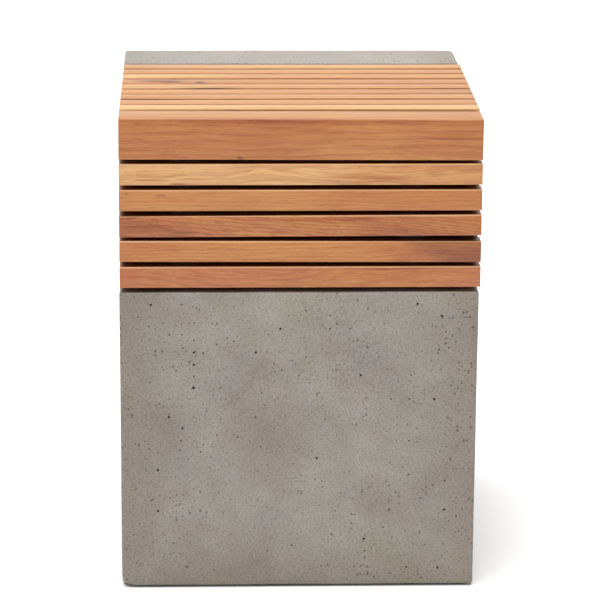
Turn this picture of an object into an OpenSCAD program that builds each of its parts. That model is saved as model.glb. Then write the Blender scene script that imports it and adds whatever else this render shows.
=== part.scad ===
// One-seat garden bench: a hollow cast concrete block with a stepped rebate over its top and
// down its front end, filled with square timber slats. The slats are screwed from behind to two
// bent steel straps, and studs on the straps are nutted up inside the hollow.
// Millimetres, +Z up. The origin is on the ground under the middle, and the slats face -Y.

/* [Block] */
// Width of the concrete block from side to side
block_w = 350; // [280:5:600]
// Depth of the block from its slatted end to its back
block_d = 350; // [290:5:600]
// Height of the concrete block without its feet
block_h = 475; // [390:5:600]
// Thickness of the shell's walls
wall = 22; // [18:0.5:27]
// Radius of the block's four upright corners
corner_r = 3; // [1:0.5:8]

/* [Timber] */
// Height of a front slat, and depth of a seat slat
slat_w = 21; // [17:0.5:26]
// Thickness of a slat
slat_t = 20; // [16:0.5:24]
// Open gap beside each slat
slat_gap = 4.5; // [3:0.25:6]
// Side of the square board that turns the corner
board_s = 40; // [32:1:48]
// How far the timber's ends stand out past each side of the block
end_proud = 1; // [0:0.5:3]
// Radius of the timber's long edges
arris_r = 1.5; // [0.5:0.25:3]
// Number of slats on the seat
seat_count = 9; // [4:1:9]
// Number of slats down the front
front_count = 5; // [3:1:5]

/* [Straps] */
// Width of a strap
strap_w = 25; // [20:1:35]
// Thickness of a strap
strap_t = 3; // [3:0.5:4]
// Distance from the block's side to the middle of a strap
strap_inset = 65; // [45:1:100]
// Space left past each end of a strap
strap_end_gap = 6; // [3:1:15]
// Diameter of the studs welded to a strap
stud_d = 6; // [5:1:8]
// Length of thread that shows past a stud's nut
stud_tail = 2.5; // [1:0.5:5]
// Width of a nut across its flats
nut_af = 10; // [9:0.5:13]
// Height of a nut
nut_h = 5; // [4:0.5:7]
// Outer diameter of a washer
washer_d = 14; // [13:1:20]
// Thickness of a washer
washer_t = 1.6; // [1:0.2:2.5]

/* [Slat screws] */
// Length of a slat screw, head included
screw_len = 15; // [10:1:16]
// Shank diameter of a slat screw
screw_d = 4; // [3:0.5:5]
// Head diameter of a slat screw
screw_head_d = 8; // [7:0.5:10]
// Depth of a slat screw's sunk head
screw_head_h = 2; // [1.5:0.25:2.5]
// Width of the square drive in a slat screw
drive_w = 2.4; // [2:0.1:3]

/* [Feet] */
// Diameter of a foot pad
foot_d = 40; // [30:1:50]
// How far a foot pad holds the block off the ground
foot_proud = 2; // [1:0.5:5]
// Depth of the seat that a foot pad is let into
foot_seat = 3; // [2:0.5:6]
// Distance from the block's sides to the middle of a foot pad
foot_inset = 34; // [30:1:60]
// Height of the solid corner above a foot pad
boss_h = 45; // [35:1:80]
// Diameter of the threaded insert above a foot pad
insert_d = 10; // [8:0.5:14]
// Length of the threaded insert
insert_len = 20; // [15:1:30]
// Shank diameter of a foot screw
foot_screw_d = 5; // [4:0.5:6]
// Length of a foot screw, head included
foot_screw_len = 18; // [12:1:20]
// Head diameter of a foot screw
foot_head_d = 10; // [8:0.5:12]
// Depth of a foot screw's sunk head
foot_head_h = 2.5; // [2:0.25:3]
// How deep a foot screw's head sits inside its pad
foot_head_sink = 1; // [0.5:0.25:1.5]

/* [Clearances] */
// Between a thread or pilot hole and what it grips, on the radius
grip_play = 0.05; // [0.02:0.01:0.1]
// Between a stud or screw and the hole it passes through, on the radius
pass_play = 0.5; // [0.2:0.1:1]
// Round a foot pad in its seat, on the radius
pad_play = 0.5; // [0.2:0.1:1]

/* [Hidden] */
seat_nodes = [for (i = [1:seat_count]) str("seat_slat_", i)];
front_nodes = [for (i = [1:front_count]) str("front_slat_", i)];
foot_nodes = ["foot_front_left", "foot_front_right", "foot_back_left", "foot_back_right"];

$fn = 48;
eps = 0.01;

// Outer faces of the block
front_y = -block_d / 2;
back_y = block_d / 2;
base_z = foot_proud;
top_z = foot_proud + block_h;

// The rebate is as deep as a slat and the strap behind it
rebate = slat_t + strap_t;
pitch = slat_w + slat_gap;
ledge_z = top_z - board_s - front_count * pitch - slat_gap;
band_y = front_y + board_s + seat_count * pitch + slat_gap;
core_y = front_y + rebate;
core_z = top_z - rebate;
timber_len = block_w + 2 * end_proud;

// Inside faces of the shell
hollow_x = block_w / 2 - wall;
hollow_back_y = back_y - wall;
hollow_front_y = front_y + wall;
hollow_ledge_z = ledge_z - wall;
hollow_core_y = core_y + wall;
hollow_core_z = core_z - wall;
boss_s = foot_inset + foot_d / 2 + 2;

// The straps lie on the core, and the timber lies on the straps
strap_x = block_w / 2 - strap_inset;
strap_low_z = ledge_z + strap_end_gap;
strap_back_y = band_y - strap_end_gap;
bearing_y = core_y - strap_t;
bearing_z = core_z + strap_t;
stud_len = wall + washer_t + nut_h + stud_tail;
front_stud_gaps = [1, front_count - 1];
seat_stud_gaps = [1, seat_count - 1];

foot_x = block_w / 2 - foot_inset;
foot_y = block_d / 2 - foot_inset;
foot_places = [[-foot_x, -foot_y], [foot_x, -foot_y], [-foot_x, foot_y], [foot_x, foot_y]];
pad_t = foot_seat + foot_proud;
insert_z = base_z + foot_seat;

concrete = "#a39a91";
steel = "#b9bbbd";
brass = "#b8964a";
rubber = "#2b2b2c";
seat_tones = [
    "#ecd3ae", "#dfba92", "#d9b088", "#e0b78c", "#d8ab82", "#dcb48c", "#c9a27c", "#dcb48d", "#d9b08a"
];
front_tones = ["#cf9f5f", "#b9783f", "#b5704a", "#c28650", "#a9694a"];

// Middle of front slat i and of seat slat i, counted from the corner board
function front_slat_z(i) = top_z - board_s - i * pitch + slat_w / 2;
function seat_slat_y(i) = front_y + board_s + i * pitch - slat_w / 2;

// Middle of the open gap after front slat i and after seat slat i
function front_gap_z(i) = front_slat_z(i) - pitch / 2;
function seat_gap_y(i) = seat_slat_y(i) + pitch / 2;

// Middle of the corner board's two legs, where its screws go
leg_mid = (board_s + slat_t) / 2;
front_screw_z = concat([top_z - leg_mid], [for (i = [1:front_count]) front_slat_z(i)]);
seat_screw_y = concat([front_y + leg_mid], [for (i = [1:seat_count]) seat_slat_y(i)]);

// Puts its children at both straps
module at_straps() {
    for (side = [-1, 1])
        translate([side * strap_x, 0, 0]) children();
}

// Puts its children, which point along +Z, through the core's front and pointing out of it
module at_front(heights) {
    for (z = heights)
        translate([0, core_y, z]) rotate([90, 0, 0]) children();
}

// Puts its children, which point along +Z, on the core's top and pointing up
module at_seat(places) {
    for (y = places)
        translate([0, y, core_z]) children();
}

module at_studs() {
    at_front([for (i = front_stud_gaps) front_gap_z(i)]) children();
    at_seat([for (i = seat_stud_gaps) seat_gap_y(i)]) children();
}

module at_slat_screws() {
    at_front(front_screw_z) children();
    at_seat(seat_screw_y) children();
}

module at_feet() {
    for (place = foot_places)
        translate([place[0], place[1], 0]) children();
}

// A rectangle w by h from the origin with round corners
module round_rect(w, h, r) {
    translate([r, 0]) square([w - 2 * r, h]);
    translate([0, r]) square([w, h - 2 * r]);
    for (x = [r, w - r], y = [r, h - r])
        translate([x, y]) circle(r = r);
}

// A bar along X whose section runs from (y, z) to (y + w, z + h)
module timber_bar(y, z, w, h) {
    translate([-timber_len / 2, y, z])
        rotate([90, 0, 90])
            linear_extrude(timber_len) round_rect(w, h, arris_r);
}

// A slat screw with its head's top at the origin and its point along +Z
module slat_screw() {
    point_h = screw_d;
    difference() {
        union() {
            cylinder(d1 = screw_head_d, d2 = screw_d, h = screw_head_h);
            cylinder(d = screw_d, h = screw_len - point_h);
            translate([0, 0, screw_len - point_h])
                cylinder(d1 = screw_d, d2 = screw_d / 4, h = point_h);
        }
        translate([-drive_w / 2, -drive_w / 2, -eps]) cube([drive_w, drive_w, screw_head_h]);
    }
}

// The pilot hole that a slat screw cuts, from the core outwards
module pilot_hole() {
    cylinder(d = screw_d + 2 * grip_play, h = screw_len + grip_play);
}

// The sunk hole in a strap for a slat screw
module strap_hole() {
    cylinder(d1 = screw_head_d + 2 * grip_play, d2 = screw_d + 2 * grip_play, h = screw_head_h);
    translate([0, 0, -eps]) cylinder(d = screw_d + 2 * grip_play, h = strap_t + 2 * eps);
}

module block_outline() {
    translate([-block_w / 2, -block_d / 2]) round_rect(block_w, block_d, corner_r);
}

module hollow() {
    low_h = hollow_ledge_z - base_z;
    translate([-hollow_x, hollow_front_y, base_z - eps])
        cube([2 * hollow_x, hollow_back_y - hollow_front_y, low_h + eps]);
    translate([-hollow_x, hollow_core_y, base_z])
        cube([2 * hollow_x, hollow_back_y - hollow_core_y, hollow_core_z - base_z]);
}

// The solid corner that carries a foot pad, drawn for the corner at +X +Y
module foot_boss() {
    translate([block_w / 2 - boss_s, block_d / 2 - boss_s, base_z])
        cube([boss_s - wall / 2, boss_s - wall / 2, boss_h]);
}

module block_shell() {
    difference() {
        translate([0, 0, base_z]) linear_extrude(block_h) block_outline();
        hollow();
        translate([-block_w, front_y - rebate, ledge_z])
            cube([2 * block_w, 2 * rebate, block_h]);
        translate([-block_w, front_y - rebate, core_z])
            cube([2 * block_w, band_y - front_y + rebate, block_h]);
    }
    for (sx = [0, 1], sy = [0, 1])
        mirror([sx, 0, 0]) mirror([0, sy, 0]) foot_boss();
}

module body() {
    color(concrete) difference() {
        block_shell();
        at_straps() at_studs()
            translate([0, 0, -wall - eps])
                cylinder(d = stud_d + 2 * pass_play, h = wall + 2 * eps);
        at_feet() {
            translate([0, 0, base_z - eps])
                cylinder(d = foot_d + 2 * pad_play, h = foot_seat + eps);
            translate([0, 0, insert_z])
                cylinder(d = insert_d + 2 * grip_play, h = insert_len);
        }
    }
}

module corner_board() {
    color("#bf7f45") difference() {
        timber_bar(front_y, top_z - board_s, board_s, board_s);
        translate([-block_w, bearing_y, bearing_z - board_s])
            cube([2 * block_w, board_s, board_s]);
        at_straps() at_slat_screws() pilot_hole();
    }
}

module front_slat(i) {
    color(front_tones[(i - 1) % len(front_tones)]) difference() {
        timber_bar(front_y, front_slat_z(i) - slat_w / 2, slat_t, slat_w);
        at_straps() at_front([front_slat_z(i)]) pilot_hole();
    }
}

module seat_slat(i) {
    color(seat_tones[(i - 1) % len(seat_tones)]) difference() {
        timber_bar(seat_slat_y(i) - slat_w / 2, bearing_z, slat_w, slat_t);
        at_straps() at_seat([seat_slat_y(i)]) pilot_hole();
    }
}

// The strap's bent outline in the Y-Z plane, drawn with Y across and Z up
module strap_outline() {
    translate([bearing_y, strap_low_z]) square([strap_t, core_z - strap_low_z]);
    translate([core_y, core_z]) square([strap_back_y - core_y, strap_t]);
    intersection() {
        translate([core_y, core_z]) circle(r = strap_t);
        translate([bearing_y, core_z]) square(strap_t);
    }
}

module strap(side) {
    color(steel) translate([side * strap_x, 0, 0]) {
        difference() {
            translate([-strap_w / 2, 0, 0])
                rotate([90, 0, 90]) linear_extrude(strap_w) strap_outline();
            at_slat_screws() strap_hole();
        }
        at_studs() translate([0, 0, -stud_len]) cylinder(d = stud_d, h = stud_len + eps);
    }
}

module slat_screws() {
    color(steel) at_straps() at_slat_screws() slat_screw();
}

module stud_washers() {
    color(steel) at_straps() at_studs() translate([0, 0, -wall - washer_t])
        difference() {
            cylinder(d = washer_d, h = washer_t);
            translate([0, 0, -eps])
                cylinder(d = stud_d + 2 * pass_play, h = washer_t + 2 * eps);
        }
}

module stud_nuts() {
    color(steel) at_straps() at_studs() translate([0, 0, -wall - washer_t - nut_h])
        difference() {
            cylinder(d = nut_af / cos(30), h = nut_h, $fn = 6);
            translate([0, 0, -eps])
                cylinder(d = stud_d + 2 * grip_play, h = nut_h + 2 * eps);
        }
}

module foot_pad(place) {
    color(rubber) translate([place[0], place[1], 0]) difference() {
        cylinder(d = foot_d, h = pad_t);
        foot_screw_hole();
    }
}

// The hole in a foot pad, with its sunk seat for the screw's head
module foot_screw_hole() {
    head_r = foot_head_d / 2 + grip_play;
    shank_r = foot_screw_d / 2 + grip_play;
    translate([0, 0, -eps]) cylinder(r = head_r, h = foot_head_sink + eps);
    translate([0, 0, foot_head_sink]) cylinder(r1 = head_r, r2 = shank_r, h = foot_head_h);
    cylinder(r = shank_r, h = pad_t + eps);
}

module foot_screws() {
    color(steel) at_feet() translate([0, 0, foot_head_sink]) difference() {
        union() {
            cylinder(d1 = foot_head_d, d2 = foot_screw_d, h = foot_head_h);
            cylinder(d = foot_screw_d, h = foot_screw_len);
        }
        translate([-drive_w / 2, -drive_w / 2, -eps]) cube([drive_w, drive_w, foot_head_h]);
    }
}

module foot_inserts() {
    color(brass) at_feet() translate([0, 0, insert_z]) difference() {
        cylinder(d = insert_d, h = insert_len);
        translate([0, 0, -eps])
            cylinder(d = foot_screw_d + 2 * grip_play, h = insert_len + 2 * eps);
    }
}

body();
corner_board();
for (i = [1:seat_count])
    seat_slat(i);
for (i = [1:front_count])
    front_slat(i);
strap(-1);  // left_strap
strap(1);  // right_strap
slat_screws();
stud_washers();
stud_nuts();
for (i = [0:len(foot_places) - 1])
    foot_pad(foot_places[i]);
foot_screws();
foot_inserts();
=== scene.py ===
"""A one-seat block bench: cast concrete, oiled hardwood slats, steel fixings and rubber feet."""
import math
import random

import bmesh
import bpy
from mathutils import Matrix, Vector, noise


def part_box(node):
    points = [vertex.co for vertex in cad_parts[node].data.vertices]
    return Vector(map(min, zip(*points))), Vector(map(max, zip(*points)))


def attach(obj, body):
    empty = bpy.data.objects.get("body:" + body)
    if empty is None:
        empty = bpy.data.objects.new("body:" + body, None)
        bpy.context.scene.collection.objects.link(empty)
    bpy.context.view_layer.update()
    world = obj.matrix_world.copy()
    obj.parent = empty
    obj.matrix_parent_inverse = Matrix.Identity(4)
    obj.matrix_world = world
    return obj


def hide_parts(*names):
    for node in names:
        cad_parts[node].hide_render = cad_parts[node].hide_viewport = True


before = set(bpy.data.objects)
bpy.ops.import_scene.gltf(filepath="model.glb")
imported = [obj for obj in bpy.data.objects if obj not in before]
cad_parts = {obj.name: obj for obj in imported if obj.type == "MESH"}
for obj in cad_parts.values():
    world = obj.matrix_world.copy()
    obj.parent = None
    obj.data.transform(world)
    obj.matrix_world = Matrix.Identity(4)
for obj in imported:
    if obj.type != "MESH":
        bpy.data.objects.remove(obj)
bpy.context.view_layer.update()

MM = 0.001

# ---------------------------------------------------------------- places taken from the frame

block_low, block_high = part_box("body")
bearing_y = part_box("front_slat_1")[1].y
bearing_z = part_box("seat_slat_1")[0].z
STRAP_T = 3 * MM
SLAT_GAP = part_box("front_slat_1")[0].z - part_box("front_slat_2")[1].z
ledge_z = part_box("front_slat_5")[0].z - SLAT_GAP
band_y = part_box("seat_slat_9")[1].y + SLAT_GAP
core_y = bearing_y + STRAP_T
core_z = bearing_z - STRAP_T

WALL = 22 * MM
BOSS_SIDE = 56 * MM
BOSS_H = 45 * MM
STUD_HOLE_R = 3.5 * MM
INSERT_HOLE_R = 5.05 * MM
PAD_PLAY = 0.5 * MM


# ---------------------------------------------------------------- modelling helpers

def start_piece(name, low, high):
    """A cube primitive that fills the box from low to high, left in edit mode with nothing else selected."""
    bpy.ops.object.select_all(action="DESELECT")
    bpy.ops.mesh.primitive_cube_add(size=1, location=(low + high) / 2, scale=high - low)
    bpy.ops.object.transform_apply(location=True, rotation=True, scale=True)
    piece = bpy.context.object
    piece.name = name
    bpy.ops.object.mode_set(mode="EDIT")
    return piece


def pick(piece, kind, wanted):
    """Selects only the vertices, edges or faces for which wanted(element) is true."""
    bpy.ops.mesh.select_mode(type=kind)
    bpy.ops.mesh.select_all(action="DESELECT")
    mesh = bmesh.from_edit_mesh(piece.data)
    for element in {"VERT": mesh.verts, "EDGE": mesh.edges, "FACE": mesh.faces}[kind]:
        if wanted(element):
            element.select_set(True)
    mesh.select_flush_mode()
    bmesh.update_edit_mesh(piece.data)


def runs_along(edge, axis):
    span = edge.verts[1].co - edge.verts[0].co
    return abs(span[axis]) > 0.999 * span.length


def is_arris(edge):
    """True on an outside corner of about a right angle."""
    return edge.is_manifold and edge.calc_face_angle_signed(0) > math.radians(60)


def cut_into_cells(piece, axis, cell):
    """Cuts every edge that runs along an axis into lengths of about one cell."""
    mesh = bmesh.from_edit_mesh(piece.data)
    lengths = {round(e.calc_length() / MM) for e in mesh.edges if runs_along(e, axis)}
    for length in sorted(lengths):
        cuts = round(length * MM / cell) - 1
        if cuts < 1:
            continue
        pick(piece, "EDGE", lambda e: runs_along(e, axis) and round(e.calc_length() / MM) == length)
        bpy.ops.mesh.subdivide(number_cuts=cuts)


def apply_modifier(piece, kind, **settings):
    bpy.ops.object.mode_set(mode="OBJECT")
    bpy.context.view_layer.objects.active = piece
    modifier = piece.modifiers.new(kind.title(), kind)
    for name, value in settings.items():
        setattr(modifier, name, value)
    bpy.ops.object.modifier_apply(modifier=modifier.name)


def warp(piece, depth, size):
    """Sinks the surface here and there by up to depth, in hollows about size across."""
    clouds = bpy.data.textures.new(piece.name + "_warp", "CLOUDS")
    clouds.noise_scale = size
    clouds.noise_depth = 1
    apply_modifier(
        piece, "DISPLACE", texture=clouds, texture_coords="LOCAL", strength=depth, mid_level=1.0
    )


def finish_piece(piece, slot, *nodes):
    """Smooths the round edges and hands the piece over in place of its CAD nodes."""
    bpy.ops.object.mode_set(mode="OBJECT")
    bpy.ops.object.select_all(action="DESELECT")
    piece.select_set(True)
    bpy.context.view_layer.objects.active = piece
    bpy.ops.object.shade_smooth_by_angle(angle=math.radians(35))
    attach(piece, "root")
    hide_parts(*nodes)


# ---------------------------------------------------------------- materials

def colour(code):
    """A linear colour with alpha from an sRGB hex value."""
    parts = [int(code[i:i + 2], 16) / 255 for i in (1, 3, 5)]
    return [p / 12.92 if p <= 0.04045 else ((p + 0.055) / 1.055) ** 2.4 for p in parts] + [1.0]


def add_node(material, kind, inputs=None, stops=None, **settings):
    """Adds a shader node. Its inputs are sockets to link or plain values, and stops are a ramp's."""
    tree = material.node_tree
    node = tree.nodes.new("ShaderNode" + kind)
    for name, value in settings.items():
        setattr(node, name, value)
    for name, value in (inputs or {}).items():
        if isinstance(value, bpy.types.NodeSocket):
            tree.links.new(value, node.inputs[name])
        else:
            node.inputs[name].default_value = value
    if stops:
        ramp = node.color_ramp.elements
        while len(ramp) < len(stops):
            ramp.new(0.5)
        for element, (place, code) in zip(ramp, stops):
            element.position = place
            element.color = colour(code)
    return node


def link(material, source, target):
    material.node_tree.links.new(source, target)


def new_material(name, **values):
    """A material with just its shader, whose own sockets are set from values."""
    material = bpy.data.materials.new(name)
    material.use_nodes = True
    shader = material.node_tree.nodes["Principled BSDF"]
    for socket, value in values.items():
        shader.inputs[socket.replace("_", " ")].default_value = value
    return material, shader


def cast_concrete():
    """Grey concrete cast face down in a smooth mould and left unsealed: soft clouds where the paste
    is richer, fine sand just under the skin, painted shade towards the sides and the ground and on the step behind the
    boards, and pinholes towards the sides drawn as dots of painted shade."""
    material, shader = new_material("cast_concrete")
    place = add_node(material, "TexCoord").outputs["Object"]
    cloud = add_node(
        material, "TexNoise", {"Vector": place, "Scale": 14, "Detail": 6, "Roughness": 0.62}
    )
    tone = add_node(material, "ValToRGB", {"Fac": cloud.outputs["Fac"]}, stops=[
        (0.26, "#877f78"), (0.50, "#958e87"), (0.76, "#a39d96")
    ])
    # Cement bloom: patches a hand wide that lean towards brown and towards green-grey
    bloom = add_node(
        material, "TexNoise", {"Vector": place, "Scale": 14, "Detail": 4, "Distortion": 0.8}
    )
    bloom_tone = add_node(material, "ValToRGB", {"Fac": bloom.outputs["Fac"]}, stops=[
        (0.36, "#faf5f4"), (0.50, "#ffffff"), (0.66, "#f9f8f0")
    ])
    bloomed = add_node(material, "Mix", {
        0: 1.0, 6: tone.outputs["Color"], 7: bloom_tone.outputs["Color"]
    }, data_type="RGBA", blend_type="MULTIPLY")
    # Painted shade: the last 60 mm towards each side and towards the ground are a shade darker
    split = add_node(material, "SeparateXYZ", {"Vector": place})
    off_centre = add_node(material, "Math", {0: split.outputs["X"]}, operation="ABSOLUTE")
    to_side = add_node(material, "MapRange", {
        "Value": off_centre.outputs[0], "From Min": block_high.x - 62 * MM, "From Max": block_high.x
    }, interpolation_type="SMOOTHSTEP")
    to_ground = add_node(material, "MapRange", {
        "Value": split.outputs["Z"], "From Min": block_low.z + 60 * MM, "From Max": block_low.z
    }, interpolation_type="SMOOTHSTEP")
    to_edge = add_node(material, "Math", {
        0: to_side.outputs[0], 1: to_ground.outputs[0]
    }, operation="MAXIMUM")
    painted_edge_shade = add_node(material, "Math", {
        0: to_edge.outputs[0], 1: cloud.outputs["Fac"]
    }, operation="MULTIPLY")
    edge_shaded = add_node(material, "Mix", {
        0: painted_edge_shade.outputs[0], 6: bloomed.outputs[2], 7: colour("#ddd5ca")
    }, data_type="RGBA", blend_type="MULTIPLY")
    # Sand of 1 to 2 mm, a little coarser than the real grading so that it shows
    sand = add_node(material, "TexNoise", {"Vector": place, "Scale": 520, "Detail": 2})
    sand_tone = add_node(material, "ValToRGB", {"Fac": sand.outputs["Fac"]}, stops=[
        (0.32, "#bdb8b3"), (0.50, "#f0efee"), (0.66, "#ffffff")
    ])
    sanded = add_node(material, "Mix", {
        0: 0.7, 6: edge_shaded.outputs[2], 7: sand_tone.outputs["Color"]
    }, data_type="RGBA", blend_type="MULTIPLY")
    # Painted shade of pinholes up to 2 mm across, drawn as dark dots on a flat face: one at most to a 3 mm cell, in
    # patches and more of them to the sides
    cells = add_node(material, "TexVoronoi", {"Vector": place, "Scale": 300, "Randomness": 1.0})
    luck = add_node(material, "SeparateXYZ", {"Vector": cells.outputs["Color"]})
    patch = add_node(material, "TexNoise", {"Vector": place, "Scale": 30, "Detail": 2})
    crowd = add_node(material, "MapRange", {
        "Value": off_centre.outputs[0], "From Max": block_high.x, "To Min": -0.61, "To Max": -0.49
    })
    patchy = add_node(material, "Math", {0: patch.outputs["Fac"], 1: crowd.outputs[0]}, operation="ADD")
    chance = add_node(material, "Math", {0: luck.outputs["X"], 1: patchy.outputs[0]}, operation="ADD")
    reach = add_node(material, "MapRange", {
        "Value": chance.outputs[0], "From Min": 0.70, "From Max": 1.05, "To Max": 0.42
    })
    hole = add_node(material, "Math", {
        0: cells.outputs["Distance"], 1: reach.outputs[0]
    }, operation="LESS_THAN")
    pinhole_shade_share = add_node(material, "Math", {0: hole.outputs[0], 1: 0.75}, operation="MULTIPLY")
    pinhole_shaded = add_node(material, "Mix", {
        0: pinhole_shade_share.outputs[0], 6: sanded.outputs[2], 7: colour("#453d36")
    }, data_type="RGBA")
    # Painted shade, warm brown, on the step that the boards are fixed over, where it shows between them; it fades out
    # towards the open ends
    behind = add_node(material, "Math", {0: split.outputs["Y"], 1: bearing_y - 1 * MM}, operation="GREATER_THAN")
    before = add_node(material, "Math", {0: split.outputs["Y"], 1: band_y + 1 * MM}, operation="LESS_THAN")
    above = add_node(material, "Math", {0: split.outputs["Z"], 1: ledge_z - 1 * MM}, operation="GREATER_THAN")
    within = add_node(material, "MapRange", {
        "Value": off_centre.outputs[0], "From Min": block_high.x - 3 * MM, "From Max": block_high.x - 6 * MM
    })
    painted_step_shade = within.outputs[0]
    for limit in (behind, before, above):
        painted_step_shade = add_node(material, "Math", {0: painted_step_shade, 1: limit.outputs[0]}, operation="MULTIPLY").outputs[0]
    step_shaded = add_node(material, "Mix", {
        0: painted_step_shade, 6: pinhole_shaded.outputs[2], 7: colour("#96694c")
    }, data_type="RGBA", blend_type="MULTIPLY")
    link(material, step_shaded.outputs[2], shader.inputs["Base Color"])
    rough = add_node(material, "MapRange", {
        "Value": cloud.outputs["Fac"], "From Min": 0.3, "From Max": 0.7, "To Min": 0.44, "To Max": 0.58
    })
    link(material, rough.outputs[0], shader.inputs["Roughness"])
    grain = add_node(material, "Bump", {
        "Height": sand.outputs["Fac"], "Distance": 0.2 * MM, "Strength": 0.4
    })
    link(material, grain.outputs["Normal"], shader.inputs["Normal"])
    return material


def air_hole_shade():
    """Painted shade for the inside of an air hole: a dark paste tone with a fine speckle."""
    material, shader = new_material("air_hole_shade", Roughness=0.9)
    place = add_node(material, "TexCoord").outputs["Object"]
    dust = add_node(material, "TexNoise", {"Vector": place, "Scale": 900, "Detail": 2})
    tone = add_node(material, "ValToRGB", {"Fac": dust.outputs["Fac"]}, stops=[
        (0.35, "#38322d"), (0.65, "#5a524a")
    ])
    link(material, tone.outputs["Color"], shader.inputs["Base Color"])
    return material


def multiplied(material, base, fac, stops, share):
    """Darkens a colour by a ramp read from a pattern's value."""
    ramp = add_node(material, "ValToRGB", {"Fac": fac}, stops=stops)
    mix = add_node(material, "Mix", {
        0: share, 6: base, 7: ramp.outputs["Color"]
    }, data_type="RGBA", blend_type="MULTIPLY")
    return mix.outputs[2]


def drawn_noise(material, place, along, across, detail):
    """Noise drawn out along X. along and across are the lengths of its patches in millimetres."""
    at = add_node(material, "Mapping", {
        "Vector": place, "Scale": (1 / (along * MM), 1 / (across * MM), 1 / (across * MM))
    })
    return add_node(material, "TexNoise", {"Vector": at.outputs["Vector"], "Scale": 1, "Detail": detail})


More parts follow.
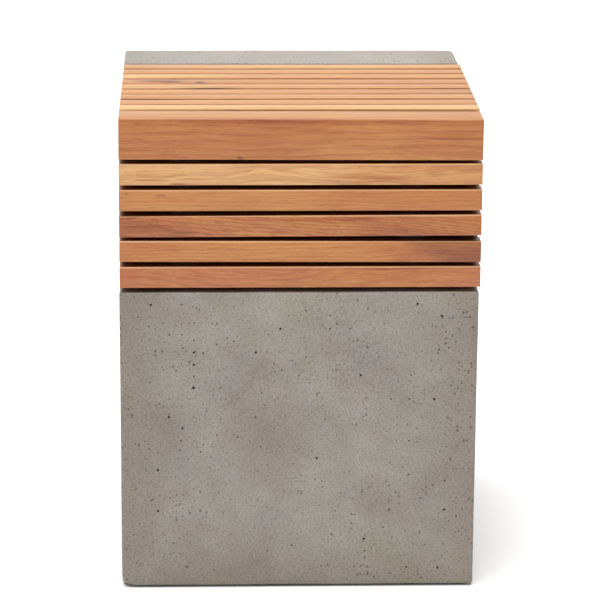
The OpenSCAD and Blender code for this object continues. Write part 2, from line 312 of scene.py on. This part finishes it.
def oiled_timber(
    name, tones, pith, slope=0, ring=4, wander=5, figure=0.35, streak=0.4, fleck=0, marks=()
):
    """Planed and oiled tropical hardwood, sawn out of a log whose growth rings lie round a pith off
    the board. tones run evenly from its left end to its right, pith is the pith's distance behind
    and above the board in millimetres, slope is the fall of the grain to the right in degrees, ring
    the spacing of the growth rings, and wander how far they stray, in millimetres. figure, streak
    and fleck are how strongly the rings, the fibres and the pale rays show. A mark is a knot, a stain
    or a line of painted shade: where it is along and across the face, its half length and half
    height, and its colour."""
    low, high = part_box(name)
    material, shader = new_material(name + "_oiled_hardwood", Roughness=0.5)
    place = add_node(material, "TexCoord").outputs["Object"]
    heart = (low + high) / 2 + Vector((0, pith[0] * MM, pith[1] * MM))
    from_heart = add_node(material, "VectorMath", {0: place, 1: heart}, operation="SUBTRACT")
    turn = math.radians(slope)
    in_log = add_node(material, "Mapping", {
        "Vector": from_heart.outputs[0], "Rotation": (0, -turn, turn)
    }).outputs["Vector"]
    # The trunk isn't straight, so the rings stray by some millimetres over a hand's length
    bend = drawn_noise(material, in_log, 130, 45, 2)
    centred = add_node(material, "VectorMath", {
        0: bend.outputs["Color"], 1: (0.5, 0.5, 0.5)
    }, operation="SUBTRACT")
    stray = add_node(material, "VectorMath", {
        0: centred.outputs[0], 1: (0, wander * 4 * MM, wander * 4 * MM)
    }, operation="MULTIPLY")
    bent = add_node(material, "VectorMath", {0: in_log, 1: stray.outputs[0]}, operation="ADD").outputs[0]
    # The tone drifts along the board, and a little across it
    split = add_node(material, "SeparateXYZ", {"Vector": bent})
    drift = drawn_noise(material, bent, 110, 16, 3)
    drifted = add_node(material, "MapRange", {
        "Value": drift.outputs["Fac"], "From Min": 0.3, "From Max": 0.7, "To Min": -60 * MM, "To Max": 60 * MM
    })
    along = add_node(material, "Math", {0: split.outputs["X"], 1: drifted.outputs[0]}, operation="ADD")
    share = add_node(material, "MapRange", {
        "Value": along.outputs[0], "From Min": low.x, "From Max": high.x
    })
    last = len(tones) - 1
    tone = add_node(material, "ValToRGB", {"Fac": share.outputs[0]}, stops=[
        (0.04 + 0.92 * i / last, TIMBER_TONES[t]) for i, t in enumerate(tones)
    ]).outputs["Color"]
    # Heartwood drifts between pinker and yellower in long lenses
    lens = drawn_noise(material, bent, 75, 9, 3)
    tone = multiplied(material, tone, lens.outputs["Fac"], [
        (0.34, "#f4dfd3"), (0.50, "#fcf8f4"), (0.66, "#fdf7df")
    ], 0.55)
    drawn_out = add_node(material, "Mapping", {"Vector": bent, "Scale": (0.04, 1, 1)}).outputs["Vector"]
    rings = add_node(material, "TexWave", {
        "Vector": drawn_out, "Scale": 0.314 / (ring * MM), "Distortion": 1.6, "Detail": 3,
        "Detail Scale": 0.7, "Detail Roughness": 0.55,
    }, wave_type="RINGS", rings_direction="X", wave_profile="SAW")
    tone = multiplied(material, tone, rings.outputs["Fac"], [
        (0.0, "#ffffff"), (0.50, "#f6efe9"), (0.86, "#b98a6a"), (0.94, "#d3b096"), (1.0, "#ffffff")
    ], figure)
    # Bundles of fibre, 2 mm and under 1 mm thick, then open vessels as short dark dashes
    bundle = drawn_noise(material, bent, 60, 2.4, 3)
    tone = multiplied(material, tone, bundle.outputs["Fac"], [
        (0.30, "#c89f82"), (0.50, "#f8f2ec"), (0.68, "#ffffff")
    ], streak)
    fibre = drawn_noise(material, bent, 35, 0.8, 2)
    tone = multiplied(material, tone, fibre.outputs["Fac"], [
        (0.30, "#cfae96"), (0.50, "#f7f1eb"), (0.68, "#ffffff")
    ], streak)
    vessel = drawn_noise(material, bent, 9, 0.55, 1)
    tone = multiplied(material, tone, vessel.outputs["Fac"], [(0.26, "#9a6e50"), (0.38, "#ffffff")], 0.45)
    if fleck:
        ray = drawn_noise(material, in_log, 16, 1.3, 1)
        ray_share = add_node(material, "MapRange", {
            "Value": ray.outputs["Fac"], "From Min": 0.58, "From Max": 0.80, "To Max": fleck
        })
        tone = add_node(material, "Mix", {
            0: ray_share.outputs[0], 6: tone, 7: colour("#e3b287")
        }, data_type="RGBA").outputs[2]
    # Painted sheen: faces that look up are mixed towards a paler straw tone
    facing = add_node(material, "TexCoord").outputs["Normal"]
    faces = add_node(material, "SeparateXYZ", {"Vector": facing})
    painted_top_sheen = add_node(material, "MapRange", {
        "Value": faces.outputs["Z"], "From Min": 0.5, "From Max": 1.0, "To Max": 0.26
    })
    tone = add_node(material, "Mix", {
        0: painted_top_sheen.outputs[0], 6: tone, 7: colour("#ba985c")
    }, data_type="RGBA").outputs[2]
    ragged = add_node(material, "VectorMath", {
        0: centred.outputs[0], 1: (14 * MM, 10 * MM, 10 * MM)
    }, operation="MULTIPLY")
    marked_at = add_node(material, "VectorMath", {0: place, 1: ragged.outputs[0]}, operation="ADD").outputs[0]
    across_seat = name.startswith("seat")
    for mark_x, mark_across, half_long, half_tall, code, strength in marks:
        if across_seat:
            middle = (mark_x * MM, low.y + mark_across * MM, high.z)
            reach = (1 / (half_long * MM), 1 / (half_tall * MM), 1 / (9 * MM))
        else:
            middle = (mark_x * MM, low.y, low.z + mark_across * MM)
            reach = (1 / (half_long * MM), 1 / (9 * MM), 1 / (half_tall * MM))
        off = add_node(material, "VectorMath", {0: marked_at, 1: middle}, operation="SUBTRACT")
        scaled = add_node(material, "VectorMath", {0: off.outputs[0], 1: reach}, operation="MULTIPLY")
        distance = add_node(material, "VectorMath", {0: scaled.outputs[0]}, operation="LENGTH")
        inside = add_node(material, "MapRange", {
            "Value": distance.outputs["Value"], "From Min": 1.0, "From Max": 0.25, "To Max": strength
        }, interpolation_type="SMOOTHSTEP")
        tone = add_node(material, "Mix", {
            0: inside.outputs[0], 6: tone, 7: colour(code)
        }, data_type="RGBA", blend_type="MULTIPLY").outputs[2]
    # Painted shade between the boards, on faces set back from the front or below the top, but not at their open ends
    parts = add_node(material, "SeparateXYZ", {"Vector": place})
    behind = add_node(material, "Math", {0: parts.outputs["Y"], 1: block_low.y}, operation="SUBTRACT")
    below = add_node(material, "Math", {0: block_high.z, 1: parts.outputs["Z"]}, operation="SUBTRACT")
    depth = add_node(material, "Math", {0: behind.outputs[0], 1: below.outputs[0]}, operation="MINIMUM")
    painted_gap_shade = add_node(material, "MapRange", {
        "Value": depth.outputs[0], "From Min": 0.8 * MM, "From Max": 5 * MM
    })
    off_centre = add_node(material, "Math", {0: parts.outputs["X"]}, operation="ABSOLUTE")
    within = add_node(material, "MapRange", {
        "Value": off_centre.outputs[0], "From Min": high.x - 1 * MM, "From Max": high.x - 6 * MM
    })
    gap_shade_share = add_node(material, "Math", {0: painted_gap_shade.outputs[0], 1: within.outputs[0]}, operation="MULTIPLY")
    tone = add_node(material, "Mix", {
        0: gap_shade_share.outputs[0], 6: tone, 7: colour("#a87654")
    }, data_type="RGBA", blend_type="MULTIPLY").outputs[2]
    # Painted highlight: a paler band along the upper edge of the front slats, where the edge catches light
    if name.startswith("front"):
        at_edge = add_node(material, "MapRange", {
            "Value": parts.outputs["Z"], "From Min": high.z - 1.4 * MM, "From Max": high.z - 0.5 * MM
        })
        outside = add_node(material, "MapRange", {
            "Value": depth.outputs[0], "From Min": 1.7 * MM, "From Max": 1.0 * MM, "To Max": 0.45
        })
        painted_edge_highlight = add_node(material, "Math", {
            0: at_edge.outputs[0], 1: outside.outputs[0]
        }, operation="MULTIPLY")
        tone = add_node(material, "Mix", {
            0: painted_edge_highlight.outputs[0], 6: tone, 7: colour("#f0c798")
        }, data_type="RGBA").outputs[2]
    # End grain drinks more oil and is darker
    end_on = faces.outputs["X"]
    end_share = add_node(material, "Math", {0: end_on, 1: end_on}, operation="MULTIPLY")
    end_share.use_clamp = True
    tone = add_node(material, "Mix", {
        0: end_share.outputs[0], 6: tone, 7: colour("#c99f7c")
    }, data_type="RGBA", blend_type="MULTIPLY").outputs[2]
    link(material, tone, shader.inputs["Base Color"])
    relief = add_node(material, "Bump", {
        "Height": bundle.outputs["Fac"], "Distance": 0.15 * MM, "Strength": 0.3
    })
    link(material, relief.outputs["Normal"], shader.inputs["Normal"])
    return material


def mill_steel():
    """Stainless flat bar as it leaves the mill: fine rolling lines along it and a dull shine."""
    material, shader = new_material("mill_stainless_steel", Metallic=1.0, Roughness=0.38)
    place = add_node(material, "TexCoord").outputs["Object"]
    lines_at = add_node(material, "Mapping", {"Vector": place, "Scale": (1500, 40, 40)}).outputs["Vector"]
    lines = add_node(material, "TexNoise", {"Vector": lines_at, "Scale": 1, "Detail": 2})
    tone = add_node(material, "ValToRGB", {"Fac": lines.outputs["Fac"]}, stops=[
        (0.35, "#85837f"), (0.65, "#a5a39e")
    ])
    link(material, tone.outputs["Color"], shader.inputs["Base Color"])
    rough = add_node(material, "MapRange", {"Value": lines.outputs["Fac"], "To Min": 0.5, "To Max": 0.65})
    link(material, rough.outputs[0], shader.inputs["Roughness"])
    return material


def bright_screw_steel():
    """Cold-headed and zinc-plated steel: smooth, with a slight blue-grey mottle."""
    material, shader = new_material("zinc_plated_steel", Metallic=1.0, Roughness=0.3)
    place = add_node(material, "TexCoord").outputs["Object"]
    mottle = add_node(material, "TexNoise", {"Vector": place, "Scale": 450, "Detail": 2})
    tone = add_node(material, "ValToRGB", {"Fac": mottle.outputs["Fac"]}, stops=[
        (0.35, "#a9adb0"), (0.65, "#cdcfce")
    ])
    link(material, tone.outputs["Color"], shader.inputs["Base Color"])
    return material


def turned_brass():
    """Turned brass, dulled a little by the cement round it."""
    material, shader = new_material("turned_brass", Metallic=1.0, Roughness=0.35)
    place = add_node(material, "TexCoord").outputs["Object"]
    dulling = add_node(material, "TexNoise", {"Vector": place, "Scale": 300, "Detail": 3})
    tone = add_node(material, "ValToRGB", {"Fac": dulling.outputs["Fac"]}, stops=[
        (0.35, "#8f7434"), (0.65, "#c7a556")
    ])
    link(material, tone.outputs["Color"], shader.inputs["Base Color"])
    return material


def foot_rubber():
    """Black rubber cut from moulded sheet: matte, with a fine pebbled face and grey scuffs."""
    material, shader = new_material("black_foot_rubber", Roughness=0.8)
    place = add_node(material, "TexCoord").outputs["Object"]
    pebbles = add_node(material, "TexVoronoi", {"Vector": place, "Scale": 900})
    scuffs = add_node(material, "TexNoise", {"Vector": place, "Scale": 120, "Detail": 4})
    tone = add_node(material, "ValToRGB", {"Fac": scuffs.outputs["Fac"]}, stops=[
        (0.40, "#1f1f20"), (0.75, "#3d3c3a")
    ])
    link(material, tone.outputs["Color"], shader.inputs["Base Color"])
    relief = add_node(material, "Bump", {
        "Height": pebbles.outputs["Distance"], "Distance": 0.2 * MM, "Strength": 0.6
    })
    link(material, relief.outputs["Normal"], shader.inputs["Normal"])
    return material


# ---------------------------------------------------------------- the concrete block

ARRIS = 2.5 * MM
CELL = 6 * MM
FILLET = 2 * MM
HOLE_SEED = 41
# Radius of an air hole in millimetres, and its share of them
AIR_HOLES = ((0.5, 0.48), (0.65, 0.32), (0.9, 0.14), (1.3, 0.06))
# Bubbles that rose one behind another against the mould, in the upper left of the front
CHAIN_START = Vector((-100 * MM, block_low.y, 210 * MM))
CHAIN_STEP = Vector((0, 0, 12 * MM))
CHAIN_RADII = (1.5, 0.9, 1.2, 1.2, 0.7)


def hollow_former():
    """The core that the hollow is cast round. It leaves solid corners above the feet."""
    inner = Vector((block_high.x - WALL, block_high.y - WALL, ledge_z - WALL))
    boss_top = block_low.z + BOSS_H
    former = start_piece("hollow_former", Vector((-inner.x, -inner.y, boss_top)), inner)
    boss_x = block_high.x - BOSS_SIDE
    boss_y = block_high.y - BOSS_SIDE
    cuts = (
        ((boss_x, 0, 0), (1, 0, 0)), ((-boss_x, 0, 0), (1, 0, 0)),
        ((0, boss_y, 0), (0, 1, 0)), ((0, -boss_y, 0), (0, 1, 0)), ((0, core_y + WALL, 0), (0, 1, 0)),
    )
    for point, direction in cuts:
        bpy.ops.mesh.select_all(action="SELECT")
        bpy.ops.mesh.bisect(plane_co=point, plane_no=direction)
    pick(former, "FACE", lambda f: f.normal.z > 0.9 and f.calc_center_median().y > core_y + WALL)
    bpy.ops.mesh.extrude_region_move(TRANSFORM_OT_translate={"value": (0, 0, core_z - WALL - inner.z)})
    pick(former, "FACE", lambda f: f.normal.z < -0.9 and (
        abs(f.calc_center_median().x) < boss_x or abs(f.calc_center_median().y) < boss_y
    ))
    bpy.ops.mesh.extrude_region_move(TRANSFORM_OT_translate={"value": (0, 0, -BOSS_H - CELL)})
    pick(former, "EDGE", lambda e: is_arris(e) and e.verts[0].co.z > block_low.z)
    bpy.ops.mesh.bevel(offset=FILLET, segments=2, affect="EDGES")
    return former


def rod(low, high, radius):
    """A round rod between two points, which lie on a line along Y or Z."""
    span = high - low
    turn = (math.radians(90), 0, 0) if abs(span.y) > abs(span.z) else (0, 0, 0)
    bpy.ops.mesh.primitive_cylinder_add(
        vertices=24, radius=radius, depth=span.length, location=(low + high) / 2, rotation=turn
    )
    bpy.ops.object.transform_apply(location=True, rotation=True, scale=True)
    return bpy.context.object


def hole_formers():
    """The pins that leave the seats for the foot pads, the insert holes and the holes for the studs."""
    pins = []
    for foot in ("foot_front_left", "foot_front_right", "foot_back_left", "foot_back_right"):
        low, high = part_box(foot)
        middle = (low + high) / 2
        start = Vector((middle.x, middle.y, low.z))
        pin = rod(start, Vector((middle.x, middle.y, high.z)), high.x - middle.x + PAD_PLAY)
        bpy.ops.object.mode_set(mode="EDIT")
        pick(pin, "FACE", lambda f: f.normal.z > 0.9)
        bpy.ops.mesh.inset(thickness=high.x - middle.x + PAD_PLAY - INSERT_HOLE_R)
        insert_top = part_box("foot_inserts")[1].z
        bpy.ops.mesh.extrude_region_move(TRANSFORM_OT_translate={"value": (0, 0, insert_top - high.z)})
        bpy.ops.object.mode_set(mode="OBJECT")
        pins.append(pin)
    for strap in ("left_strap", "right_strap"):
        low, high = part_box(strap)
        stud_x = (low.x + high.x) / 2
        for above, below in (("front_slat_1", "front_slat_2"), ("front_slat_4", "front_slat_5")):
            z = (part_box(above)[0].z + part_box(below)[1].z) / 2
            pins.append(rod(
                Vector((stud_x, core_y - CELL, z)), Vector((stud_x, core_y + WALL + CELL, z)), STUD_HOLE_R
            ))
        for fore, aft in (("seat_slat_1", "seat_slat_2"), ("seat_slat_8", "seat_slat_9")):
            y = (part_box(fore)[1].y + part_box(aft)[0].y) / 2
            pins.append(rod(
                Vector((stud_x, y, core_z - WALL - CELL)), Vector((stud_x, y, core_z + CELL)), STUD_HOLE_R
            ))
    bpy.ops.object.select_all(action="DESELECT")
    for pin in pins:
        pin.select_set(True)
    bpy.context.view_layer.objects.active = pins[0]
    bpy.ops.object.join()
    return pins[0]


def face_axis(vertex):
    """The axis that a flat face round a vertex looks along, or None where it isn't flat there."""
    if len(vertex.link_faces) != 4 or min(e.calc_length() for e in vertex.link_edges) < 3.5 * MM:
        return None
    for axis in range(3):
        if all(abs(f.normal[axis]) > 0.999 for f in vertex.link_faces):
            return axis
    return None


def on_outside(vertex, axis):
    """True on a face of the block that stays in view, away from its corners."""
    co = vertex.co
    bare = co.z < ledge_z - 2 * CELL or co.y > band_y + CELL or axis == 0 and co.z < core_z - CELL
    seen = abs(co[axis]) > block_high.x - CELL if axis < 2 else co.z > block_high.z - CELL
    return bare and seen and (axis == 2 or co.z > block_low.z + 2 * CELL)


def loosen_grid(block):
    """Shifts the grid's corners within each face, so that holes made at them keep no rows."""
    for axis, plane in ((0, block_low.x), (0, block_high.x), (1, block_low.y), (1, block_high.y), (2, block_high.z)):
        pick(block, "VERT", lambda v: abs(v.co[axis] - plane) < 0.1 * MM and face_axis(v) == axis)
        bpy.ops.transform.vertex_random(offset=1.2 * MM, uniform=0, normal=0, seed=HOLE_SEED + axis)
        flat = [1, 1, 1]
        flat[axis] = 0
        middle = [0, 0, 0]
        middle[axis] = plane
        bpy.ops.transform.resize(value=flat, center_override=middle)


def choose_air_holes(block):
    """Picks where the air holes go, and their radii: none beside another, most towards the sides."""
    draw = random.Random(HOLE_SEED)
    mesh = bmesh.from_edit_mesh(block.data)
    taken = set()
    places = {}

    def claim(vertex, radius):
        faces = {f.index for f in vertex.link_faces}
        if not faces & taken:
            taken.update(faces)
            places.setdefault(radius, set()).add(tuple(round(c, 6) for c in vertex.co))

    open_places = [(v, face_axis(v)) for v in mesh.verts]
    open_places = [(v, axis) for v, axis in open_places if axis is not None and on_outside(v, axis)]
    front = [v for v, axis in open_places if axis == 1 and v.co.y < 0]
    for step, radius in enumerate(CHAIN_RADII):
        at = CHAIN_START + step * CHAIN_STEP
        claim(min(front, key=lambda v: (v.co - at).length), radius)
    for vertex, axis in open_places:
        along = vertex.co.y if axis == 0 else vertex.co.x
        crowd = 0.045 + 0.24 * (abs(along) / block_high.x) ** 1.5
        patch = 1 + 1.6 * noise.noise(vertex.co * 22)
        if draw.random() < crowd * max(patch, 0.15):
            pick_radius = draw.random()
            for radius, part in AIR_HOLES:
                pick_radius -= part
                if pick_radius < 0:
                    claim(vertex, radius)
                    break
    return places


def sink_air_holes(block):
    """Opens a round, bowl-shaped hole at each chosen corner of the grid."""
    places = choose_air_holes(block)
    # The hole faces go to the second slot, whose dark tone is painted shade
    block.active_material_index = 1
    for radius, corners in sorted(places.items()):
        r = radius * MM
        pick(block, "VERT", lambda v: tuple(round(c, 6) for c in v.co) in corners)
        # This profile makes the cut corners a circle
        bpy.ops.mesh.bevel(offset=r, segments=2, affect="VERTICES", profile=0.0858)
        bpy.ops.mesh.select_mode(type="FACE")
        bpy.ops.object.material_slot_assign()
        bpy.ops.mesh.inset(thickness=0.15 * r, depth=-0.75 * r)
        bpy.ops.mesh.inset(thickness=0.40 * r, depth=-0.45 * r)


def cast_block():
    """The block as it leaves the mould: stepped for the timber, cut into small cells, its outside
    corners rounded, its faces very slightly uneven, and pitted with air holes."""
    foot = Vector((block_high.x, block_high.y, ledge_z))
    block = start_piece("cast_block", block_low, foot)
    for material in block_materials:
        block.data.materials.append(material)
    bpy.ops.mesh.select_all(action="SELECT")
    bpy.ops.mesh.bisect(plane_co=(0, core_y, 0), plane_no=(0, 1, 0))
    bpy.ops.mesh.select_all(action="SELECT")
    bpy.ops.mesh.bisect(plane_co=(0, band_y, 0), plane_no=(0, 1, 0))
    for behind, top_z, height in (
        (core_y, ledge_z, core_z - ledge_z), (band_y, core_z, block_high.z - core_z)
    ):
        pick(block, "FACE", lambda f: f.normal.z > 0.9 and f.calc_center_median().y > behind)
        bpy.ops.mesh.extrude_region_move(TRANSFORM_OT_translate={"value": (0, 0, height)})
    for axis in range(3):
        cut_into_cells(block, axis, CELL)
    pick(block, "EDGE", is_arris)
    bpy.ops.mesh.bevel(offset=ARRIS, segments=3, affect="EDGES")
    loosen_grid(block)
    warp(block, 0.5 * MM, 90 * MM)
    bpy.ops.object.mode_set(mode="EDIT")
    sink_air_holes(block)
    # Knocks on the lower front left corner and the upper back right one
    for corner, move, reach in (
        ((block_low.x, block_low.y, block_low.z), (2.2, 0.8, 2.2), 11),
        ((block_high.x, block_high.y, block_high.z), (-0.8, -0.8, -0.6), 7),
    ):
        at = Vector(corner)
        nearest = min((v.co - at).length for v in bmesh.from_edit_mesh(block.data).verts)
        pick(block, "VERT", lambda v: (v.co - at).length < nearest + 0.1 * MM)
        bpy.ops.transform.translate(
            value=Vector(move) * MM, use_proportional_edit=True, proportional_size=reach * MM,
            proportional_edit_falloff="SMOOTH",
        )
    bpy.ops.object.mode_set(mode="OBJECT")
    return block


block_materials = (cast_concrete(), air_hole_shade())
block = cast_block()
for former in (hollow_former, hole_formers):
    cutter = former()
    if cutter.mode == "EDIT":
        bpy.ops.object.mode_set(mode="OBJECT")
    apply_modifier(block, "BOOLEAN", operation="DIFFERENCE", object=cutter, solver="EXACT")
    bpy.data.objects.remove(cutter)
finish_piece(block, "concrete", "body")


# ---------------------------------------------------------------- the timber

TIMBER_ARRIS = 1.1 * MM
SEAT_ARRIS = 0.7 * MM
END_ARRIS = 0.5 * MM
# The boards stand proud on the right, and finish just inside the block on the left
LEFT_TRIM = 1.6 * MM
END_PLAY = 0.1 * MM

TIMBER_TONES = {
    "straw": "#dcb07c",
    "honey": "#cf9c66",
    "gold": "#c58a52",
    "amber": "#bd7d4a",
    "rose": "#bb7950",
    "rust": "#b07047",
    "umber": "#94593a",
}

# A board that wasn't fixed quite level is out by this many degrees
LEAN = 0.2
DROPS, LEVEL, RISES = LEAN, 0, -LEAN

# Each board: what its right end does, how far its top is planed down in millimetres, and its wood
BOARDS = {
    "corner_board": (DROPS, 0.8, dict(
        tones=("amber", "amber", "amber", "gold", "amber"), pith=(70, -120), ring=6, wander=3, figure=0.25,
        marks=(
            (0, 38, 260, 5, "#d8b4a0", 0.7), (-60, 3, 5, 3, "#a08a74", 0.7), (150, 20, 44, 2.5, "#b89a84", 0.5),
        ),
    )),
    "front_slat_1": (LEVEL, 0, dict(
        tones=("straw", "straw", "straw", "honey", "honey"), pith=(45, 14), ring=5, figure=0.3, wander=5,
        marks=((-145, 6, 26, 1.6, "#b08658", 0.6), (-118, 2, 12, 1.2, "#9a7450", 0.6), (60, 8, 60, 3, "#d09a72", 0.6)),
    )),
    "front_slat_2": (LEVEL, 0, dict(
        tones=("gold", "gold", "gold", "amber", "amber"), pith=(20, -150), figure=0.2, streak=0.3, wander=3,
        marks=((-134, 15, 8, 1.4, "#b0947a", 0.7), (-165, 17, 3, 1.5, "#b0947a", 0.6)),
    )),
    "front_slat_3": (RISES, 0, dict(
        tones=("rust", "rose", "gold", "amber", "rust", "amber"), pith=(30, -90), slope=8, ring=3.5,
        figure=0.45, streak=0.5, wander=4,
        marks=((-112, 3, 18, 2, "#a48a74", 0.6), (20, 18, 90, 3, "#d8aa98", 0.6), (-150, 9, 30, 6, "#d0b0a0", 0.5)),
    )),
    "front_slat_4": (DROPS, 0, dict(
        tones=("amber", "gold", "gold", "gold", "amber", "umber"), pith=(60, -160), figure=0.25, streak=0.35,
        marks=((-40, 2, 120, 3, "#f2cf96", 0.5),),
    )),
    "front_slat_5": (LEVEL, 0, dict(
        tones=("rose", "rose", "rose", "amber", "amber", "rose"), pith=(90, -40), ring=3.5, figure=0.25, fleck=0.25,
        marks=((90, 19, 70, 2, "#b0927e", 0.6), (-20, 20, 40, 1.2, "#e0c8bc", 0.5)),
    )),
    "seat_slat_1": (LEVEL, 0, dict(tones=("straw", "honey", "straw"), pith=(160, 20), figure=0.2, streak=0.3)),
    "seat_slat_2": (LEVEL, 0.3, dict(tones=("gold", "gold", "gold", "amber"), pith=(90, 40))),
    "seat_slat_3": (LEVEL, 0.1, dict(tones=("amber", "gold", "gold", "gold"), pith=(-120, 10))),
    "seat_slat_4": (LEVEL, 0.4, dict(tones=("gold", "gold", "amber", "rust"), pith=(-50, 50))),
    "seat_slat_5": (LEVEL, 0.2, dict(
        tones=("honey", "gold", "gold", "amber"), pith=(120, -30),
        # A dark line along the front edge: painted shade in the gap to seat slat 4
        marks=((-84, 0.5, 46, 2.5, "#6e4a30", 0.85),),
    )),
    "seat_slat_6": (LEVEL, 0.45, dict(
        tones=("amber", "rust", "amber", "amber", "amber"), pith=(-80, 60), figure=0.4,
        marks=(
            (-134, 10, 34, 10, "#b48e66", 0.9), (-124, 6, 14, 4, "#664628", 0.9), (-95, 6, 8, 5, "#6a4a24", 0.95),
        ),
    )),
    "seat_slat_7": (LEVEL, 0.15, dict(tones=("straw", "gold", "gold", "gold"), pith=(70, 60))),
    "seat_slat_8": (LEVEL, 0.3, dict(tones=("amber", "gold", "gold", "amber"), pith=(-140, -10))),
    "seat_slat_9": (LEVEL, 0.1, dict(tones=("gold", "honey", "honey", "gold"), pith=(100, 20))),
}


def timber_length(name, tilt, planed):
    """One planed length of timber with eased edges, lying a little out of level."""
    low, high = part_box(name)
    low.x += LEFT_TRIM
    high.x -= END_PLAY
    middle = (low + high) / 2
    arris = SEAT_ARRIS if name.startswith("seat") else TIMBER_ARRIS
    if name == "corner_board":
        # Its section is an L: the front leg first, then the leg over the core from the leg's back
        piece = start_piece(name + "_timber", low, Vector((high.x, bearing_y, high.z)))
        bpy.ops.mesh.select_all(action="SELECT")
        bpy.ops.mesh.bisect(plane_co=(0, 0, bearing_z), plane_no=(0, 0, 1))
        pick(piece, "FACE", lambda f: f.normal.y > 0.9 and f.calc_center_median().z > bearing_z)
        bpy.ops.mesh.extrude_region_move(TRANSFORM_OT_translate={"value": (0, high.y - bearing_y, 0)})
    else:
        piece = start_piece(name + "_timber", low, high - Vector((0, 0, planed * MM)))
    pick(piece, "EDGE", lambda e: runs_along(e, 0) and is_arris(e))
    bpy.ops.mesh.bevel(offset=arris, segments=3, affect="EDGES")
    pick(piece, "EDGE", is_arris)
    bpy.ops.mesh.bevel(offset=END_ARRIS, segments=2, affect="EDGES")
    cut_into_cells(piece, 0, 15 * MM)
    bpy.ops.mesh.select_all(action="SELECT")
    bpy.ops.transform.rotate(value=math.radians(-tilt), orient_axis="Y", center_override=middle)
    if name == "corner_board":
        bpy.ops.transform.translate(value=(0, 0, -planed * MM))
    warp(piece, 0.25 * MM, 140 * MM)
    return piece


for name, (tilt, planed, wood) in BOARDS.items():
    piece = timber_length(name, tilt, planed)
    piece.data.materials.append(oiled_timber(name, **wood))
    finish_piece(piece, "timber", name)

# ---------------------------------------------------------------- the fixings and feet

fixings = {
    mill_steel(): ["left_strap", "right_strap"],
    bright_screw_steel(): ["slat_screws", "stud_washers", "stud_nuts", "foot_screws"],
    turned_brass(): ["foot_inserts"],
    foot_rubber(): ["foot_front_left", "foot_front_right", "foot_back_left", "foot_back_right"],
}
for material, names in fixings.items():
    for name in names:
        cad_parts[name].data.materials.clear()
        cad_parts[name].data.materials.append(material)

# ---------------------------------------------------------------- floor, light and camera

bpy.ops.object.select_all(action="DESELECT")
bpy.ops.mesh.primitive_plane_add(size=16)
floor = bpy.context.object
floor.name = "floor"
floor_material, floor_shader = new_material("white_floor", Roughness=0.8)
floor_shader.inputs["Base Color"].default_value = colour("#f2f2f2")
floor.data.materials.append(floor_material)

world = bpy.data.worlds.new("studio")
bpy.context.scene.world = world
world.use_nodes = True
world.node_tree.nodes["Background"].inputs["Color"].default_value = (1, 1, 1, 1)
world.node_tree.nodes["Background"].inputs["Strength"].default_value = 0.5

overhead = bpy.data.lights.new("overhead", "SUN")
overhead.energy = 3.6
overhead.angle = math.radians(45)
overhead_object = bpy.data.objects.new("overhead", overhead)
overhead_object.rotation_euler = (math.radians(8), math.radians(-6), 0)
bpy.context.scene.collection.objects.link(overhead_object)

# A long softbox behind the block puts the sheen on its top
softbox = bpy.data.lights.new("softbox", "AREA")
softbox.shape = "RECTANGLE"
softbox.size = 5
softbox.size_y = 2
softbox.energy = 42
softbox_object = bpy.data.objects.new("softbox", softbox)
softbox_object.location = (0, 4.4, 1.6)
softbox_object.rotation_euler = (math.radians(-80), 0, 0)
bpy.context.scene.collection.objects.link(softbox_object)

CAMERA_PLACE = Vector((-0.102, block_low.y - 2.782, 1.075))
CAMERA_YAW, CAMERA_PITCH, CAMERA_ROLL = 2.11, 15.61, 0.38
CAMERA_LENS = 178.6

lens = bpy.data.cameras.new("camera")
lens.sensor_width = 36
lens.lens = CAMERA_LENS
camera = bpy.data.objects.new("camera", lens)
turn = (
    Matrix.Rotation(math.radians(-CAMERA_YAW), 4, "Z")
    @ Matrix.Rotation(math.radians(90 - CAMERA_PITCH), 4, "X")
    @ Matrix.Rotation(math.radians(CAMERA_ROLL), 4, "Z")
)
camera.matrix_world = Matrix.Translation(CAMERA_PLACE) @ turn
bpy.context.scene.collection.objects.link(camera)
bpy.context.scene.camera = camera
bpy.context.scene.view_settings.view_transform = "Standard"
